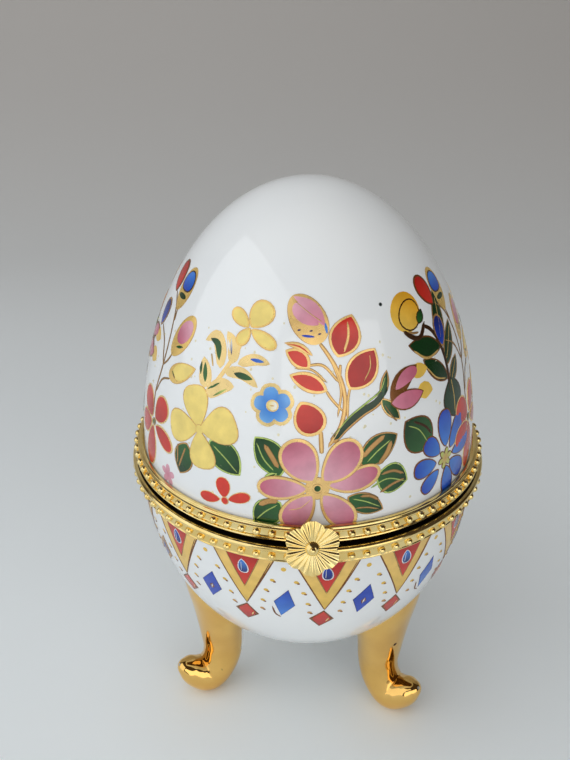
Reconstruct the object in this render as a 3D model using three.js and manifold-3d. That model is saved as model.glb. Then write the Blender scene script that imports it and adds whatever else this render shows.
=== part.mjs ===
// A footed porcelain egg box with a hinged lid, in millimetres, +Z up.
// The origin is on the surface that the box stands on, under the egg's axis.
// The clasp faces -Y and the hinge +Y.
// The porcelain is slip-cast: a half-egg lid, and a bowl cast in one with its three cabriole legs.
// Each half carries a stamped brass rim with a row of beads, and a pinned hinge joins the two rims.
import * as THREE from "three";
import Module from "manifold-3d";
import { mergeVertices } from "three/addons/utils/BufferGeometryUtils.js";

// ---- Driving dimensions ----
// Heights called rise, low, high, edge or height are counted from the seam, where lid and bowl meet.
const seamHeight = 60.2;
const wall = 2.6; // porcelain thickness
const gap = 0.3; // cement between porcelain and metal, solder between metal and metal
const facets = 40; // round the egg

// A half-egg is a half-ellipse with both exponents at 2, and fuller or blunter above that.
const lid = { radius: 32.8, height: 53.5, fullness: 2.06, bluntness: 2, edge: 1.55 };
const bowl = { radius: 33.8, height: -41.2, fullness: 2, bluntness: 2.88, edge: -1 };

const legs = { angles: [-67, 53, 173], sides: 12, steps: 18 }; // angles from the front towards +X, in degrees

// Stations down a leg: radius from the egg's axis, height, half-depth along the radius, half-width across it.
const legStations = [
  [21.0, 37.2, 6.6, 7.4],
  [21.8, 31.8, 5.7, 7.8],
  [20.8, 24.2, 5.3, 6.8],
  [20.2, 16.8, 4.8, 5.1],
  [20.0, 11.1, 4.4, 4.1],
  [21.2, 6.5, 4.1, 4.1],
  [23.7, 3.8, 4.15, 4.0],
  [26.4, 5.0, 3.5, 3.7],
  [28.5, 6.9, 2.6, 2.9],
  [29.9, 8.1, 1.3, 1.5],
];

const beads = { count: 80, radius: 0.68, sides: 6, plainAtClasp: 3, plainAtHinge: 12 }; // plain: half-angles

// Each rim's section as [radius, rise], anticlockwise, and where its beads are.
const lidRim = {
  section: [
    [33.1, 3.4],
    [33.1, 1.25],
    [30.1, 1.25],
    [30.1, 0.85],
    [34.35, 0.85],
    [34.6, 1.15],
    [34.1, 3],
    [33.6, 3.4],
    [33.1, 3.4],
  ],
  beadCircle: 34.3,
  beadRise: 2.1,
};
const bowlRim = {
  section: [
    [34.1, -3.4],
    [34.65, -3.4],
    [34.65, -1.45],
    [35.1, -1.2],
    [35.3, -0.75],
    [35.1, -0.3],
    [34.7, -0.1],
    [29.6, -0.1],
    [29.6, 1.9],
    [29.0, 1.9],
    [29.0, -0.7],
    [34.1, -0.7],
    [34.1, -3.4],
  ],
  beadCircle: 34.75,
  beadRise: -2.2,
};

const hinge = { y: 37.4, rise: 0.4, knuckle: 1.25, bore: 0.62, pin: 0.45, half: 5.5, lidHalf: 1.8 };
const leaf = { halfAngle: 8.8, steps: 4 }; // in degrees
const bowlLeaf = { radii: [35.6, 36.7], rises: [-3.3, hinge.rise] };
const lidLeaf = { radii: [34.85, 35.55], rises: [1, 3.2] };
const bridge = { thickness: 0.5, from: 35.1, to: 36.8, rise: 1.1 }; // from the lid's leaf to its knuckle

const rosette = { radius: 4.7, y: -36.5, rise: 1.6, tilt: 19, petals: 6, flutes: 18, lobes: 0.13 };
const flute = 0.22; // half its depth at the petals' tips
const boss = { radius: 1.3, rise: 0.5, knob: 0.5, knobRise: 1.8 };
const stem = { half: 1.7, from: rosette.y - 0.4, to: -34.85, low: 1.1, high: 2.7 };
const tongue = { half: 1.5, from: -36.2, to: -35.65, low: -2.2, high: 1.5 };

const wasm = await Module();
wasm.setup();

// ---- Materials ----
const porcelain = new THREE.MeshStandardMaterial({ color: 0xf0f4f7, roughness: 0.1, metalness: 0 });
const giltBrass = new THREE.MeshStandardMaterial({ color: 0xe0bd5c, roughness: 0.2, metalness: 1 });

// ---- From geometry to solid and back ----
function toSolid(geometry) {
  const bare = geometry.clone();
  bare.deleteAttribute("normal");
  bare.deleteAttribute("uv");
  const merged = mergeVertices(bare);
  const vertProperties = merged.attributes.position.array;
  const triVerts = new Uint32Array(merged.index.array);
  return new wasm.Manifold(new wasm.Mesh({ numProp: 3, vertProperties, triVerts }));
}

function toMesh(name, solid, material) {
  const found = solid.getMesh();
  const geometry = new THREE.BufferGeometry();
  geometry.setAttribute("position", new THREE.BufferAttribute(found.vertProperties, found.numProp));
  geometry.setIndex(new THREE.BufferAttribute(found.triVerts, 1));
  geometry.computeVertexNormals();
  const mesh = new THREE.Mesh(geometry, material);
  mesh.name = name;
  return mesh;
}

const unite = (solids) => solids.reduce((whole, next) => whole.add(next));

// Turned about Z from [radius, height] points, anticlockwise, closed or ending on the axis.
function turned(profile, sides = facets) {
  const points = profile.map(([r, z]) => new THREE.Vector2(r, z));
  return toSolid(new THREE.LatheGeometry(points, sides).rotateX(Math.PI / 2));
}

// Rings of equal count, each anticlockwise about the way they follow, joined in order and capped.
function lofted(rings) {
  const sides = rings[0].length;
  const last = (rings.length - 1) * sides;
  const faces = [];
  for (let start = 0; start < last; start += sides) {
    for (let k = 0; k < sides; k++) {
      const a = start + k;
      const b = start + ((k + 1) % sides);
      faces.push(a, b, b + sides, a, b + sides, a + sides);
    }
  }
  for (let k = 1; k < sides - 1; k++) {
    faces.push(0, k + 1, k, last, last + k, last + k + 1);
  }
  const geometry = new THREE.BufferGeometry().setFromPoints(rings.flat());
  geometry.setIndex(faces);
  return toSolid(geometry);
}

function slab([x0, x1], [y0, y1], [z0, z1]) {
  const shape = new THREE.BoxGeometry(x1 - x0, y1 - y0, z1 - z0);
  return toSolid(shape.translate((x0 + x1) / 2, (y0 + y1) / 2, (z0 + z1) / 2));
}

// ---- Porcelain ----
// Points on a half-egg's outside, or on its inner wall with an inset, from its edge to its pole.
function eggProfile(half, inset, count) {
  const pole = half.height - Math.sign(half.height) * inset;
  const first = Math.asin(half.edge / pole);
  const points = [];
  for (let i = 0; i < count; i++) {
    const share = Math.sin(first + ((Math.PI / 2 - first) * i) / count);
    const radius = (half.radius - inset) * (1 - share ** half.fullness) ** (1 / half.bluntness);
    points.push([radius, seamHeight + pole * share]);
  }
  return [...points, [0, seamHeight + pole]];
}

function makeLid() {
  return turned([...eggProfile(lid, wall, 8).reverse(), ...eggProfile(lid, 0, 11)]);
}

function makeLeg(degrees) {
  const line = new THREE.CatmullRomCurve3(legStations.map(([r, z]) => new THREE.Vector3(r, 0, z)));
  const sizes = new THREE.CatmullRomCurve3(legStations.map(([, , d, w]) => new THREE.Vector3(d, w)));
  const across = new THREE.Vector3(0, 1, 0);
  const rings = [];
  for (let i = 0; i <= legs.steps; i++) {
    const centre = line.getPoint(i / legs.steps);
    const size = sizes.getPoint(i / legs.steps);
    const out = new THREE.Vector3().crossVectors(across, line.getTangent(i / legs.steps)).normalize();
    const ring = [];
    for (let k = 0; k < legs.sides; k++) {
      const turn = (2 * Math.PI * k) / legs.sides;
      const point = centre.clone().addScaledVector(out, size.x * Math.cos(turn));
      ring.push(point.addScaledVector(across, size.y * Math.sin(turn)));
    }
    rings.push(ring);
  }
  const ground = slab([0, 40], [-20, 20], [-10, 0]);
  return lofted(rings).subtract(ground).rotate([0, 0, degrees - 90]);
}

function makeBowl() {
  const top = seamHeight + bowl.edge;
  const inside = eggProfile(bowl, wall, 9).reverse();
  const mouth = [inside.at(-1)[0], top + wall];
  const shape = turned([...eggProfile(bowl, 0, 11).reverse(), [0, top]]);
  const hollow = turned([...inside, mouth, [0, mouth[1]]]);
  return unite([shape, ...legs.angles.map(makeLeg)]).subtract(hollow);
}

// ---- Beaded rims ----
// A six-sided stud, its foot sunk in the rim and its point outwards.
function makeBead(degrees, rim) {
  const section = [
    [0, -beads.radius / 2],
    [beads.radius * 1.25, -beads.radius / 2],
    [0, beads.radius],
  ];
  const bead = turned(section, beads.sides).rotate([90, 0, 0]);
  return bead.translate([0, -rim.beadCircle, seamHeight + rim.beadRise]).rotate([0, 0, degrees]);
}

function makeRim(rim) {
  const parts = [turned(rim.section.map(([r, rise]) => [r, seamHeight + rise]))];
  for (let i = 0; i < beads.count; i++) {
    const degrees = ((i + 0.5) * 360) / beads.count;
    const fromFront = Math.min(degrees, 360 - degrees);
    if (fromFront > beads.plainAtClasp && fromFront < 180 - beads.plainAtHinge) {
      parts.push(makeBead(degrees, rim));
    }
  }
  return unite(parts);
}

// ---- Hinge: knuckles on a pin along X ----
const hingeZ = seamHeight + hinge.rise;

function rod(radius, x0, x1, sides) {
  const shape = new THREE.CylinderGeometry(radius, radius, x1 - x0, sides).rotateZ(Math.PI / 2);
  return toSolid(shape.translate((x0 + x1) / 2, hinge.y, hingeZ));
}

const hingeBore = () => rod(hinge.bore, -2 * hinge.half, 2 * hinge.half, 12);

// A plate that follows the rim at the back.
function leafPlate({ radii: [inner, outer], rises: [low, high] }) {
  const rings = [];
  for (let i = 0; i <= leaf.steps; i++) {
    const turn = THREE.MathUtils.degToRad(90 + leaf.halfAngle * (1 - (2 * i) / leaf.steps));
    const corner = (r, rise) => new THREE.Vector3(r * Math.cos(turn), r * Math.sin(turn), seamHeight + rise);
    rings.push([corner(inner, low), corner(outer, low), corner(outer, high), corner(inner, high)]);
  }
  return lofted(rings);
}

function makeBowlLeaf() {
  const side = hinge.lidHalf + gap;
  const clear = hinge.knuckle + gap;
  const notch = slab([-side, side], [bowlLeaf.radii[0] - 1, hinge.y], [hingeZ - clear, hingeZ + clear]);
  const left = rod(hinge.knuckle, -hinge.half, -side, 16);
  const right = rod(hinge.knuckle, side, hinge.half, 16);
  return unite([leafPlate(bowlLeaf).subtract(notch), left, right]).subtract(hingeBore());
}

function makeLidLeaf() {
  const low = seamHeight + bridge.rise;
  const arm = slab([-hinge.lidHalf, hinge.lidHalf], [bridge.from, bridge.to], [low, low + bridge.thickness]);
  const knuckle = rod(hinge.knuckle, -hinge.lidHalf, hinge.lidHalf, 16);
  return unite([leafPlate(lidLeaf), arm, knuckle]).subtract(hingeBore());
}

function makePin() {
  return rod(hinge.pin, -hinge.half - gap, hinge.half + gap, 12);
}

// ---- Clasp: a fluted rosette soldered to the lid's rim, with a sprung tongue behind it ----
function makeRosette() {
  const steps = rosette.flutes * 2;
  const ringAt = (share, height) =>
    Array.from({ length: steps }, (_, k) => {
      const turn = (2 * Math.PI * k) / steps;
      const lobe = Math.abs(Math.cos((rosette.petals / 2) * turn)) ** 0.7;
      const r = rosette.radius * (1 - rosette.lobes + rosette.lobes * lobe) * share;
      return new THREE.Vector3(r * Math.sin(turn), -r * Math.cos(turn), height(turn));
    });
  // A shallow cup with its lip turned back, rippled by the flutes.
  const cupped = (share) => (turn) =>
    0.75 + 0.55 * share - 0.35 * share ** 3 + flute * share * Math.cos(rosette.flutes * turn);
  const front = [1, 0.7, 0.25].map((share) => ringAt(share, cupped(share)));
  const disc = lofted([ringAt(0.9, () => 0), ...front]);
  const dome = toSolid(new THREE.SphereGeometry(boss.radius, 10, 5)).rotate([90, 0, 0]);
  const knob = toSolid(new THREE.SphereGeometry(boss.knob, 8, 4)).rotate([90, 0, 0]);
  return unite([disc, dome.translate([0, 0, boss.rise]), knob.translate([0, 0, boss.knobRise])])
    .rotate([90 - rosette.tilt, 0, 0])
    .translate([0, rosette.y, seamHeight + rosette.rise]);
}

function makeClasp() {
  const [stemPiece, tonguePiece] = [stem, tongue].map(({ half, from, to, low, high }) =>
    slab([-half, half], [from, to], [seamHeight + low, seamHeight + high]),
  );
  return unite([makeRosette(), stemPiece, tonguePiece]);
}

// ---- The box ----
const base = new THREE.Group();
base.add(toMesh("bowl_with_legs", makeBowl(), porcelain));
base.add(toMesh("bowl_rim", makeRim(bowlRim), giltBrass));
base.add(toMesh("hinge_leaf_bowl", makeBowlLeaf(), giltBrass));
base.add(toMesh("hinge_pin", makePin(), giltBrass));

const cover = new THREE.Group();
cover.add(toMesh("lid_dome", makeLid(), porcelain));
cover.add(toMesh("lid_rim", makeRim(lidRim), giltBrass));
cover.add(toMesh("hinge_leaf_lid", makeLidLeaf(), giltBrass));
cover.add(toMesh("clasp_rosette", makeClasp(), giltBrass));

const box = new THREE.Group();
box.add(base, cover);
export default box;
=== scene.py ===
import bisect
import math
import random
import bpy
from mathutils import Matrix, Vector


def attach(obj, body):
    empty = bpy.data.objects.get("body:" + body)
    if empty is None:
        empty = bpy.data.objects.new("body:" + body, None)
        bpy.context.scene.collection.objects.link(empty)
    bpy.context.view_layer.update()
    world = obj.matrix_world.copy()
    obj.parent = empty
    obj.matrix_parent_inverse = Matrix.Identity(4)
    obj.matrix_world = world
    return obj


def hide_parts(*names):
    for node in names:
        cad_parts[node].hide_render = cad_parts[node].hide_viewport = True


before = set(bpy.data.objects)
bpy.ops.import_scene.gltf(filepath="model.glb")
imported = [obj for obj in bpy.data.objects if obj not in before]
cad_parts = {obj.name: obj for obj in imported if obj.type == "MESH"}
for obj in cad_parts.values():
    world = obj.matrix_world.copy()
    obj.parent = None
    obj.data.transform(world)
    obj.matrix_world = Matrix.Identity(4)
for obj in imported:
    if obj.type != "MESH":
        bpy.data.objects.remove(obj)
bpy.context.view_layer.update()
mm = 0.001  # sizes below are millimetres, as in the part's own drawing

# The egg's own measures. A rise is counted from the seam, where lid and bowl meet.
egg = {
    "seam": 60.2,
    "wall": 2.6,
    "around": 224,
    "lid": {"radius": 32.8, "pole": 53.5, "fullness": 2.06, "bluntness": 2.0, "edge": 1.55},
    "bowl": {"radius": 33.8, "pole": -41.2, "fullness": 2.0, "bluntness": 2.88, "edge": -1.0},
}


# Small tools for modelling
def freshSelection():
    if bpy.context.object and bpy.context.object.mode != "OBJECT":
        bpy.ops.object.mode_set(mode="OBJECT")
    bpy.ops.object.select_all(action="DESELECT")


def pick(piece):
    freshSelection()
    piece.hide_set(False)
    piece.select_set(True)
    bpy.context.view_layer.objects.active = piece


def fromPoints(name, points, faces=(), edges=()):
    mesh = bpy.data.meshes.new(name)
    mesh.from_pydata([[c * mm for c in p] for p in points], edges, faces)
    piece = bpy.data.objects.new(name, mesh)
    bpy.context.scene.collection.objects.link(piece)
    return piece


def settle(piece, name):  # place, turn and size go into the mesh
    pick(piece)
    bpy.ops.object.transform_apply(location=True, rotation=True, scale=True)
    piece.name = name
    piece.data.name = name
    return piece


def tidyMesh(piece, merge):
    pick(piece)
    bpy.ops.object.mode_set(mode="EDIT")
    bpy.ops.mesh.select_all(action="SELECT")
    bpy.ops.mesh.remove_doubles(threshold=merge)
    bpy.ops.mesh.normals_make_consistent(inside=False)
    bpy.ops.object.mode_set(mode="OBJECT")


def smooth(piece, degrees=40):
    pick(piece)
    bpy.ops.object.shade_smooth_by_angle(angle=math.radians(degrees))


def addModifier(piece, kind, **settings):
    pick(piece)
    modifier = piece.modifiers.new(kind.title(), kind)
    for name, value in settings.items():
        setattr(modifier, name, value)
    bpy.ops.object.modifier_apply(modifier=modifier.name)


def joined(pieces, name):
    pick(pieces[0])
    for piece in pieces[1:]:
        piece.select_set(True)
    bpy.ops.object.join()
    return settle(bpy.context.object, name)


def spun(name, profile, steps=None, closed=False):  # a [radius, rise] profile turned about the egg's axis
    points = [(r, 0, egg["seam"] + rise) for r, rise in profile]
    edges = [(i, i + 1) for i in range(len(points) - 1)]
    if closed:
        edges.append((len(points) - 1, 0))
    piece = fromPoints(name, points, edges=edges)
    pick(piece)
    bpy.ops.object.mode_set(mode="EDIT")
    bpy.ops.mesh.select_all(action="SELECT")
    bpy.ops.mesh.spin(steps=steps or egg["around"], angle=2 * math.pi, center=(0, 0, 0), axis=(0, 0, 1))
    bpy.ops.object.mode_set(mode="OBJECT")
    tidyMesh(piece, 2e-6)
    smooth(piece)
    return piece


def lofted(name, rings):  # closed rings of equal count, joined in order and capped
    count = len(rings[0])
    faces = [list(range(count))[::-1], [(len(rings) - 1) * count + k for k in range(count)]]
    for start in range(0, (len(rings) - 1) * count, count):
        for k in range(count):
            following = (k + 1) % count
            faces.append([start + k, start + following, start + count + following, start + count + k])
    piece = fromPoints(name, [p for ring in rings for p in ring], faces)
    tidyMesh(piece, 1e-7)
    return piece


def coin(start, end, radius, sides=48):  # a straight round bar between two points
    middle = (Vector(start) + Vector(end)) / 2
    along = Vector(end) - Vector(start)
    freshSelection()
    bpy.ops.mesh.primitive_cylinder_add(
        vertices=sides, radius=radius * mm, depth=along.length * mm, location=middle * mm
    )
    piece = bpy.context.object
    piece.rotation_euler = along.to_track_quat("Z", "Y").to_euler()
    return settle(piece, "bar")


def block(low, high, bevel=0.0):
    freshSelection()
    centre = [(a + b) / 2 * mm for a, b in zip(low, high)]
    bpy.ops.mesh.primitive_cube_add(size=1, location=centre)
    piece = bpy.context.object
    piece.scale = [(b - a) * mm for a, b in zip(low, high)]
    settle(piece, "block")
    if bevel:
        addModifier(piece, "BEVEL", width=bevel * mm, segments=3)
    return piece


def cut(piece, tool):
    addModifier(piece, "BOOLEAN", operation="DIFFERENCE", object=tool, solver="EXACT")
    bpy.data.objects.remove(tool)


def splinePoint(points, share):  # a smooth curve through every point, by share of its stations
    last = len(points) - 1
    index = min(int(share * last), last - 1)
    t = share * last - index
    p1, p2 = points[index], points[index + 1]
    p0 = points[index - 1] if index else 2 * p1 - p2
    p3 = points[index + 2] if index + 2 <= last else 2 * p2 - p1
    d0, d1, d2 = [(b - a).length ** 0.5 for a, b in ((p0, p1), (p1, p2), (p2, p3))]
    leave = ((p1 - p0) / d0 - (p2 - p0) / (d0 + d1) + (p2 - p1) / d1) * d1
    arrive = ((p2 - p1) / d1 - (p3 - p1) / (d1 + d2) + (p3 - p2) / d2) * d1
    bend = 3 * (p2 - p1) - 2 * leave - arrive
    return p1 + leave * t + bend * t * t + (2 * (p1 - p2) + leave + arrive) * t ** 3


# Shader maths as plain expressions
class Wire:  # one socket of a material's nodes
    def __init__(self, tree, socket=None):
        self.tree = tree
        self.socket = socket

    def node(self, kind, settings=None, inputs=None, output=0):
        made = self.tree.nodes.new(kind)
        for name, value in (settings or {}).items():
            setattr(made, name, value)
        for name, value in (inputs or {}).items():
            if isinstance(value, Wire):
                self.tree.links.new(value.socket, made.inputs[name])
            else:
                made.inputs[name].default_value = value
        return Wire(self.tree, made.outputs[output])

    def sum(self, operation, first, second=0.0):
        return self.node("ShaderNodeMath", {"operation": operation}, {0: first, 1: second})

    def __add__(self, other):
        return self.sum("ADD", self, other)

    def __sub__(self, other):
        return self.sum("SUBTRACT", self, other)

    def __rsub__(self, other):
        return self.sum("SUBTRACT", other, self)

    def __mul__(self, other):
        return self.sum("MULTIPLY", self, other)

    def over(self, low, high):  # 0 at low and under, 1 at high and over, smooth between
        settings = {"interpolation_type": "SMOOTHSTEP"}
        return self.node("ShaderNodeMapRange", settings, {"Value": self, "From Min": low, "From Max": high})

    def noise(self, scale, detail=2.0):
        inputs = {"Vector": self, "Scale": scale, "Detail": detail}
        return self.node("ShaderNodeTexNoise", inputs=inputs)

    def blend(self, first, second):  # self is the share of the second colour
        settings = {"data_type": "RGBA"}
        return self.node("ShaderNodeMix", settings, {0: self, 6: first, 7: second}, 2)

    def bump(self, strength, distance):
        inputs = {"Height": self, "Strength": strength, "Distance": distance * mm}
        return self.node("ShaderNodeBump", inputs=inputs)


def newMaterial(name):  # the material's object coordinates and a call that fills its shader
    material = bpy.data.materials.new(name)
    material.use_nodes = True
    tree = material.node_tree
    shader = tree.nodes["Principled BSDF"]
    start = Wire(tree)

    def shade(**sockets):
        for name, value in sockets.items():
            socket = shader.inputs[{"Base": "Base Color"}.get(name, name)]
            if isinstance(value, Wire):
                tree.links.new(value.socket, socket)
            else:
                socket.default_value = value
        return material

    return start.node("ShaderNodeTexCoord", output="Object"), shade


def opaque(red, green, blue):
    return (red, green, blue, 1)


def makePorcelain(name, speck=None):
    place, shade = newMaterial(name)
    cloud = place.noise(45, 2).over(0.3, 0.7)
    base = cloud.blend(opaque(0.80, 0.83, 0.85), opaque(0.84, 0.865, 0.875))
    if speck:  # a kiln speck in the glaze
        away = place.node("ShaderNodeVectorMath", {"operation": "DISTANCE"}, {0: place, 1: speck}, "Value")
        base = away.over(0.00022, 0.0004).blend(opaque(0.015, 0.02, 0.02), base)
    ripple = place.noise(130, 1).bump(0.05, 0.25)
    gloss = place.noise(300, 3).over(0.35, 0.75) * 0.05 + 0.05
    return shade(Base=base, Roughness=gloss, Normal=ripple, IOR=1.52)


def makeBrass():
    place, shade = newMaterial("gilt_brass")
    cloud = place.noise(220, 3).over(0.35, 0.7)
    base = cloud.blend(opaque(0.90, 0.66, 0.235), opaque(0.97, 0.78, 0.36))
    gloss = place.noise(500, 3).over(0.3, 0.8) * 0.12 + 0.09
    dents = place.noise(700, 2).bump(0.12, 0.12)
    flat = place.node("ShaderNodeVectorMath", {"operation": "MULTIPLY"}, {0: place, 1: (1, 1, 0)})
    radius = flat.node("ShaderNodeVectorMath", {"operation": "LENGTH"}, {0: flat}, "Value")
    rise = place.node("ShaderNodeSeparateXYZ", inputs={"Vector": place}, output="Z") - egg["seam"] * mm
    # A mask of the gap between the rims, where the brass gets painted shade
    gapShade = radius.over(0.0321, 0.0324) * radius.over(0.03465, 0.0345)
    gapShade = gapShade * rise.over(-0.0003, -0.0002) * rise.over(0.00092, 0.00088)
    base = gapShade.blend(base, opaque(0.02, 0.013, 0.008))  # painted shade: the brass in the gap between the rims is darkened to near black, and made rougher
    return shade(Base=base, Roughness=gloss + gapShade * 0.4, Normal=dents, Metallic=1.0)


def makeGilding():
    place, shade = newMaterial("leg_gilding")
    cloud = place.noise(160, 3).over(0.3, 0.7)
    base = cloud.blend(opaque(0.87, 0.52, 0.15), opaque(0.95, 0.60, 0.18))
    cells = place.node("ShaderNodeTexVoronoi", inputs={"Vector": place, "Scale": 190.0})
    rare = place.noise(90, 1).over(0.56, 0.60)
    pit = cells.over(0.05, 0.085).sum("SUBTRACT", 1.0, cells.over(0.06, 0.11)) * rare
    base = pit.blend(base, opaque(0.10, 0.045, 0.015))
    gloss = place.noise(420, 3).over(0.3, 0.8) * 0.05 + 0.05 + pit * 0.4
    dents = (place.noise(260, 2) - pit * 0.7).bump(0.08, 0.2)
    return shade(Base=base, Roughness=gloss, Normal=dents, Metallic=1.0)


def finish(piece, material, body, slot, *nodes):
    piece.data.materials.clear()
    piece.data.materials.append(material)
    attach(piece, body)
    if nodes:
        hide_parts(*nodes)
    return piece


# Camera, floor and lights
studio = {
    "lens": 37.895,
    "eye": (-4.5, -140.3, 146.9),
    "tilt": 62.45,
    "floorHalf": 1300,
    "near": -900,
    "wall": 620,
    "wallTop": 1000,
    "wallRound": 340,
    "middle": (0, 0, 60),
    "room": opaque(0.055, 0.042, 0.033),
    "lamps": {
        "window": {"place": (-760, -330, 420), "size": (1300, 1150), "power": 5.2, "tint": (0.94, 0.97, 1.0)},
        "sky": {
            "place": (-100, -100, 900), "size": (1100, 1100), "power": 3.6, "tint": (0.97, 0.99, 1.0),
            "mirrored": False,
        },
        "front": {"place": (260, -820, 260), "size": (1300, 700), "power": 4.2, "tint": (1, 0.99, 0.97)},
    },
}


def makeCamera():
    data = bpy.data.cameras.new("camera")
    data.lens = studio["lens"]
    data.clip_start = 0.005
    camera = bpy.data.objects.new("camera", data)
    camera.location = Vector(studio["eye"]) * mm
    camera.rotation_euler = (math.radians(studio["tilt"]), 0, 0)
    bpy.context.scene.collection.objects.link(camera)
    bpy.context.scene.camera = camera


def makeFloor():
    half, near, wall = [studio[k] * mm for k in ("floorHalf", "near", "wall")]
    freshSelection()
    bpy.ops.mesh.primitive_plane_add(size=1, location=(0, (near + wall) / 2, 0))
    floor = bpy.context.object
    floor.scale = (2 * half, wall - near, 1)
    settle(floor, "floor")
    bpy.ops.object.mode_set(mode="EDIT")
    bpy.ops.mesh.select_all(action="DESELECT")
    bpy.ops.object.mode_set(mode="OBJECT")
    for edge in floor.data.edges:
        edge.select = all(floor.data.vertices[v].co.y > wall - 1e-4 for v in edge.vertices)
    bpy.ops.object.mode_set(mode="EDIT")
    bpy.ops.mesh.select_mode(type="EDGE")
    move = {"value": (0, 0, studio["wallTop"] * mm)}
    bpy.ops.mesh.extrude_region_move(TRANSFORM_OT_translate=move)
    bpy.ops.object.mode_set(mode="OBJECT")
    addModifier(floor, "BEVEL", width=studio["wallRound"] * mm, segments=24, limit_method="ANGLE")
    smooth(floor, 60)
    place, shade = newMaterial("backdrop")
    along = place.node("ShaderNodeSeparateXYZ", inputs={"Vector": place}, output="Y")
    back = along.over(-0.05, 0.6).blend(opaque(0.88, 0.94, 0.97), opaque(0.46, 0.44, 0.42))
    tooth = place.noise(900, 2).bump(0.03, 0.2)
    floor.data.materials.append(shade(Base=back, Roughness=0.55, Normal=tooth))


def addSoftbox(name, place, size, power, tint, mirrored=True):
    data = bpy.data.lights.new(name, "AREA")
    data.shape = "RECTANGLE"
    data.size, data.size_y = [s * mm for s in size]
    data.energy = power
    data.color = tint
    lamp = bpy.data.objects.new(name, data)
    lamp.location = Vector(place) * mm
    aim = Vector(studio["middle"]) - Vector(place)
    lamp.rotation_euler = aim.to_track_quat("-Z", "Y").to_euler()
    lamp.visible_glossy = mirrored
    bpy.context.scene.collection.objects.link(lamp)


def makeLights():
    world = bpy.data.worlds.new("room")
    bpy.context.scene.world = world
    world.use_nodes = True
    world.node_tree.nodes["Background"].inputs["Color"].default_value = studio["room"]
    for name, lamp in studio["lamps"].items():
        addSoftbox(name, **lamp)
    bpy.context.scene.view_settings.view_transform = "Standard"


makeCamera()
makeFloor()
makeLights()
print("stage ready")


# Porcelain
def eggProfile(half, inset, count):  # from the edge to the pole, finer towards the pole
    pole = half["pole"] - math.copysign(inset, half["pole"])
    first = math.asin(half["edge"] / pole)
    points = []
    for i in range(count):
        share = math.sin(first + (math.pi / 2 - first) * i / count)
        rest = 1 - abs(share) ** half["fullness"]
        points.append(((half["radius"] - inset) * rest ** (1 / half["bluntness"]), pole * share))
    return points + [(0, pole)]


def shell(name, half):  # outside and inside of one porcelain half, joined across its edge
    outside = eggProfile(half, 0, 90)
    inside = eggProfile(half, egg["wall"], 60)
    return spun(name, inside[::-1] + outside)


legs = {
    "angles": (-67, 53, 173),
    "sides": 48,
    "steps": 64,
    "skin": 0.07,
    "bare": 40,
    "ankle": 0.56,
    "taper": 0.12,
    "tuck": 0.25,
    "stations": [
        (21.0, 37.2, 6.6, 7.4),
        (21.8, 31.8, 5.7, 7.8),
        (20.8, 24.2, 5.3, 6.8),
        (20.2, 16.8, 4.8, 5.1),
        (20.0, 11.1, 4.4, 4.1),
        (21.2, 6.5, 4.1, 4.1),
        (23.7, 3.8, 4.15, 4.0),
        (26.4, 5.0, 3.5, 3.7),
        (28.5, 6.9, 2.6, 2.9),
        (29.9, 8.1, 1.3, 1.5),
    ],
}  # a station is radius from the axis, height, half-depth and half-width; bare is the half-angle left white


def legRings(outset, isBare):
    line = [Vector((r, 0, z)) for r, z, _, _ in legs["stations"]]
    sizes = [Vector((d, w, 0)) for _, _, d, w in legs["stations"]]
    across = Vector((0, 1, 0))
    rings = []
    shares = [i / legs["steps"] for i in range(legs["steps"] + 1)]
    tip = [(1, 0.62, 0.35), (1, 0.25, 0.6)]  # share, size and reach of the rings that round the toe off
    for share, grow, reach in [(share, 1, 0) for share in shares] + tip:
        centre = splinePoint(line, share)
        tangent = (splinePoint(line, min(share + 1e-3, 1)) - splinePoint(line, share - 1e-3)).normalized()
        size = splinePoint(sizes, share) * grow
        inward = across.cross(tangent)
        bare = legs["bare"] * min(max((legs["ankle"] - share) / legs["taper"], 0), 1)
        ring = []
        for k in range(legs["sides"]):
            turn = 2 * math.pi * k / legs["sides"]
            fromInside = abs((math.degrees(turn) + 180) % 360 - 180)
            side = (size.y + outset) * math.sin(turn)
            depth = (size.x + outset) * math.cos(turn)
            if isBare and fromInside < bare:  # the skin closes inside the leg, under the white part
                depth = (size.x + outset) * math.cos(math.radians(bare)) - legs["tuck"]
            point = centre + tangent * reach + inward * depth + across * side
            point.z = max(point.z, 0)
            ring.append(point)
        rings.append(ring)
    return rings


def threeLegs(name, outset=0.0, isBare=False):
    rings = legRings(outset, isBare)
    pieces = []
    for degrees in legs["angles"]:
        turn = Matrix.Rotation(math.radians(degrees - 90), 4, "Z")
        pieces.append(lofted("leg", [[turn @ p for p in ring] for ring in rings]))
    return joined(pieces, name)


def bowlCore(inset):  # a plug that fills the bowl to within inset of its outside
    top = egg["bowl"]["edge"] + 4
    profile = eggProfile(egg["bowl"], inset, 60)
    return spun("core", [(0, top), (profile[0][0], top)] + profile, 96)


def makePorcelainPieces():
    glaze = makePorcelain("lid_glaze", speck=onLid(27.7, 38.0, 0))
    lid = shell("porcelain_lid", egg["lid"])
    finish(lid, glaze, "lid", "porcelain", "lid_dome")
    bowl = shell("porcelain_bowl", egg["bowl"])
    feet = threeLegs("feet")
    cut(feet, bowlCore(1.2))
    bowl = joined([bowl, feet], "porcelain_bowl")
    smooth(bowl)
    finish(bowl, makePorcelain("bowl_glaze"), "base", "porcelain", "bowl_with_legs")
    skin = threeLegs("leg_gilding", legs["skin"], True)
    cut(skin, bowlCore(1.2))
    smooth(skin, 35)
    finish(skin, makeGilding(), "base", "gilding")


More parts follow.
